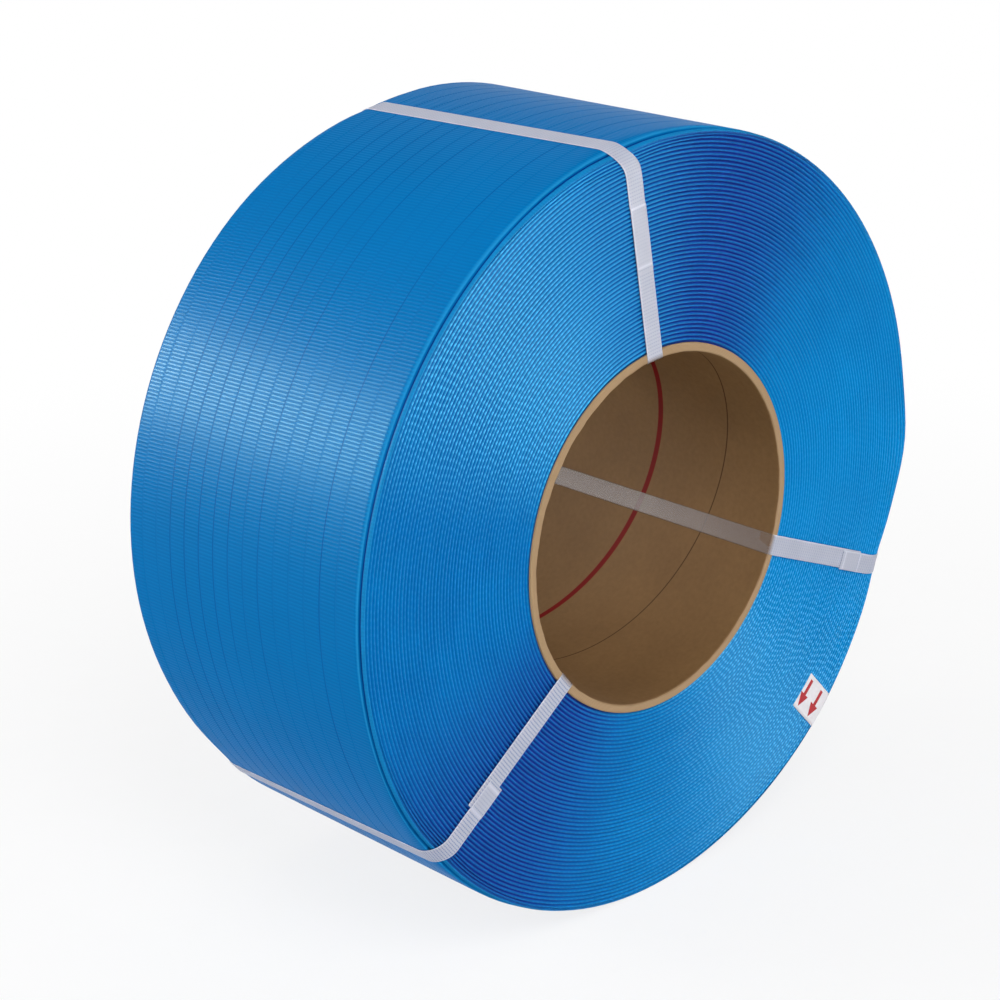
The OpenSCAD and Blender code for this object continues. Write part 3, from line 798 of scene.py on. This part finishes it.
points = [(BORE, share * TUBE_HALF, 0.0) for share in (-0.9, -0.6, -0.3, 0.0, 0.3, 0.6, 0.9)]
points += tube_end(1) + list(reversed(tube_end(-1)))
outline = bpy.data.meshes.new("section of the tube")
outline.from_pydata([(p[0], p[1], 0) for p in points], [(i, (i + 1) % len(points)) for i in range(len(points))], [])
for place, name in enumerate(("out", "front", "soft")):
    outline.attributes.new(name, "FLOAT", "POINT").data.foreach_set("value", [p[place] for p in points])
tube = grow("paper_tube", outline, tube_tree)

# %% [markdown]
# ## Label
# A strip of white paper is stuck over the rim beside the strap's free end. Red arrows on it show
# which way the strap unwinds. The paper is a thin slab laid on the skin like everything else, and
# the arrows are drawn in its material from its own unrolled coordinates.

# %% Material of the label
ARROW_PITCH = 14.4 * MM
label_paper, tree, surface = start_material("coated label paper", {
    "Roughness": 0.6, "IOR": 1.5, "Specular IOR Level": 0.05})
along = add(tree, "ShaderNodeAttribute", attribute_name="along").node.outputs["Fac"]
over = add(tree, "ShaderNodeAttribute", attribute_name="over").node.outputs["Fac"]
row = add(tree, "FRACT", add(tree, "DIVIDE", add(tree, "ADD", along, 32.7 * MM), ARROW_PITCH))
apart = add(tree, "MULTIPLY", add(tree, "ABSOLUTE", add(tree, "SUBTRACT", row, 0.5)), ARROW_PITCH)
head = add(tree, "MULTIPLY", add(tree, "SUBTRACT", 9.5 * MM, over), 0.55)
in_head = add(tree, "MULTIPLY", add(tree, "GREATER_THAN", over, 1 * MM), add(tree, "LESS_THAN", apart, head))
in_shaft = add(tree, "MULTIPLY", add(tree, "LESS_THAN", apart, 1.5 * MM),
               add(tree, "MULTIPLY", add(tree, "GREATER_THAN", over, -9 * MM),
                   add(tree, "LESS_THAN", over, 1.5 * MM)))
red = add(tree, "MAXIMUM", in_head, in_shaft)
place = add(tree, "ShaderNodeTexCoord").node.outputs["Object"]
fibres = add(tree, "ShaderNodeTexNoise", {"Vector": place, "Scale": 500.0, "Detail": 3.0})
white = add(tree, "ShaderNodeMix", {0: fibres, 6: colour("#E4DEE2"), 7: colour("#F4F0F2")}, data_type="RGBA")
shade = add(tree, "ShaderNodeMix", {0: red, 6: white, 7: colour("#B40A1C")}, data_type="RGBA")
tree.links.new(shade, surface["Base Color"])
bump = add(tree, "ShaderNodeBump", {"Height": fibres, "Distance": 0.03 * MM, "Strength": 0.5})
tree.links.new(bump, surface["Normal"])

# %% Label on the rim
LABEL_WIDTH = 23 * MM
LABEL_REACH = 30 * MM
LABEL_FOLD = 22 * MM
sticker, given, result = start_tree("label over the rim", {
    "Sheet": None, "Clock": math.radians(136.5), "Finish": label_paper})
read = {name: add(sticker, "GeometryNodeInputNamedAttribute", {"Name": name})
        for name in ("along", "over", "lift")}
near = add(sticker, "MINIMUM", add(sticker, "ADD", read["along"], OUTER), OUTER)
bend = add(sticker, "ARCSINE", add(sticker, "DIVIDE", read["over"], near))
place = add(sticker, "GeometryNodeGroup", {"Along": read["along"], "Height": read["lift"],
                                           "Clock": add(sticker, "ADD", given["Clock"], bend)}, node_tree=skin)
body = add(sticker, "GeometryNodeSetPosition", {"Geometry": given["Sheet"], "Position": place})
body = add(sticker, "GeometryNodeSetShadeSmooth", {"Geometry": body})
body = add(sticker, "GeometryNodeRealizeInstances", body)
body = add(sticker, "GeometryNodeSetMaterial", {"Geometry": body, "Material": given["Finish"]})
sticker.links.new(body, result)

COLUMNS, LINES = 12, 60
slab = bpy.data.meshes.new("label sheet")
corners = [(-LABEL_REACH + (LABEL_REACH + LABEL_FOLD) * line / LINES, LABEL_WIDTH * (column / COLUMNS - 0.5), lift)
           for lift in (0.05 * MM, 0.2 * MM) for line in range(LINES + 1) for column in range(COLUMNS + 1)]
wide = COLUMNS + 1
layer = wide * (LINES + 1)
faces = []
for line in range(LINES):
    for column in range(COLUMNS):
        a = line * wide + column
        faces.append((a, a + 1, a + 1 + wide, a + wide))
        faces.append((layer + a, layer + a + wide, layer + a + wide + 1, layer + a + 1))
edge_loop = [column for column in range(COLUMNS)]
edge_loop += [line * wide + COLUMNS for line in range(LINES)]
edge_loop += [LINES * wide + COLUMNS - column for column in range(COLUMNS)]
edge_loop += [(LINES - line) * wide for line in range(LINES)]
for i, a in enumerate(edge_loop):
    b = edge_loop[(i + 1) % len(edge_loop)]
    faces.append((b, a, layer + a, layer + b))
slab.from_pydata(corners, [], faces)
for place, name in enumerate(("along", "over", "lift")):
    slab.attributes.new(name, "FLOAT", "POINT").data.foreach_set("value", [c[place] for c in corners])
label = grow("arrow_sticker", slab, sticker)

# %% [markdown]
# ## Floor, background and light
# The coil stands on a pale floor in front of white. The world is white to the camera and to
# reflections, and dimmer as a light, so that colours render about as they are written. One large
# soft light behind on the left lays the broad sheen along the outside, one at the front fills the
# end, and one above keeps the top of the coil from going dark.

# %% Floor and world
floor_mesh = bpy.data.meshes.new("floor")
FLOOR = -OUTER
reach = 6.0
floor_mesh.from_pydata([(-reach, -reach, FLOOR), (reach, -reach, FLOOR), (reach, reach, FLOOR),
                        (-reach, reach, FLOOR)], [], [(0, 1, 2, 3)])
floor = bpy.data.objects.new("floor", floor_mesh)
bpy.context.scene.collection.objects.link(floor)
floor_paint, tree, surface = start_material("matt white studio floor", {
    "Roughness": 0.9, "Specular IOR Level": 0.1})
place = add(tree, "ShaderNodeTexCoord").node.outputs["Object"]
speckle = add(tree, "ShaderNodeTexNoise", {"Vector": place, "Scale": 40.0, "Detail": 2.0})
white = add(tree, "ShaderNodeMix", {0: speckle, 6: colour("#F2F2F2"), 7: colour("#FAFAFA")}, data_type="RGBA")
tree.links.new(white, surface["Base Color"])
ray = add(tree, "ShaderNodeLightPath").node.outputs
seen = add(tree, "MAXIMUM", ray["Is Camera Ray"], ray["Is Glossy Ray"])
seen = add(tree, "MAXIMUM", seen, ray["Is Transmission Ray"])
lit = add(tree, "ShaderNodeEmission", {"Color": (1, 1, 1, 1), "Strength": 1.0})
paint = tree.nodes["Principled BSDF"].outputs["BSDF"]
away = add(tree, "ShaderNodeVectorMath", place, operation="LENGTH").node.outputs["Value"]
share = add(tree, "ShaderNodeMapRange", away, 0.25, 1.1, 0.82, 1.0, interpolation_type="SMOOTHSTEP")
mixed = add(tree, "ShaderNodeMixShader", {0: add(tree, "MULTIPLY", seen, share), 1: paint, 2: lit})
tree.links.new(mixed, tree.nodes["Material Output"].inputs["Surface"])
floor_mesh.materials.append(floor_paint)

AMBIENT = 0.36
world = bpy.data.worlds.new("studio")
bpy.context.scene.world = world
world.use_nodes = True
tree = world.node_tree
ray = add(tree, "ShaderNodeLightPath").node.outputs
seen = add(tree, "MAXIMUM", ray["Is Camera Ray"], ray["Is Glossy Ray"])
seen = add(tree, "MAXIMUM", seen, ray["Is Transmission Ray"])
strength = add(tree, "MULTIPLY_ADD", seen, 1.0 - AMBIENT, AMBIENT)
background = tree.nodes["Background"]
background.inputs["Color"].default_value = (1, 1, 1, 1)
tree.links.new(strength, background.inputs["Strength"])

# %% Lights
LIGHTS = {
    "left": {"place": (-1.52, 1.46, 0.64), "size": (1.3, 0.7), "power": 16, "gloss_only": False},
    "front": {"place": (-0.7, -1.25, 1.45), "size": (1.0, 1.0), "power": 22, "gloss_only": False},
    "top": {"place": (0.0, 0.3, 2.2), "size": (1.6, 1.6), "power": 3, "gloss_only": False},
    "left sheen": {"place": (-1.52, 1.46, 0.64), "size": (1.2, 0.6), "power": 500, "gloss_only": True},
    "front sheen": {"place": (0.84, -1.9, 0.06), "size": (0.5, 0.5), "power": 450, "gloss_only": True},
}
for name, light in LIGHTS.items():
    lamp = bpy.data.lights.new(name, "AREA")
    lamp.shape = "RECTANGLE"
    lamp.size, lamp.size_y = light["size"]
    lamp.energy = light["power"]
    holder = bpy.data.objects.new(name, lamp)
    holder.location = light["place"]
    holder.rotation_euler = Vector(light["place"]).to_track_quat("Z", "Y").to_euler()
    holder.visible_diffuse = not light["gloss_only"]
    bpy.context.scene.collection.objects.link(holder)
bpy.context.scene.view_settings.view_transform = "Standard"
print("lights:", ", ".join(LIGHTS))

# %% [markdown]
# ## The pieces on the coil's body
# Each piece rides on the coil's one body and stands for the solid that it was built over. The
# floor is staging and not part of the coil.

# %% Tie the pieces to the solids
for piece, node, slot in ((strap, "winding", "blue_strap"), (tube, "core", "kraft_paper"),
                          (ties[0], "tie_1", "white_tie"), (ties[1], "tie_2", "white_tie"),
                          (ties[2], "tie_3", "white_tie"), (label, "arrow_label", "label_paper")):
    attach(piece, "root")
    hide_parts(node)
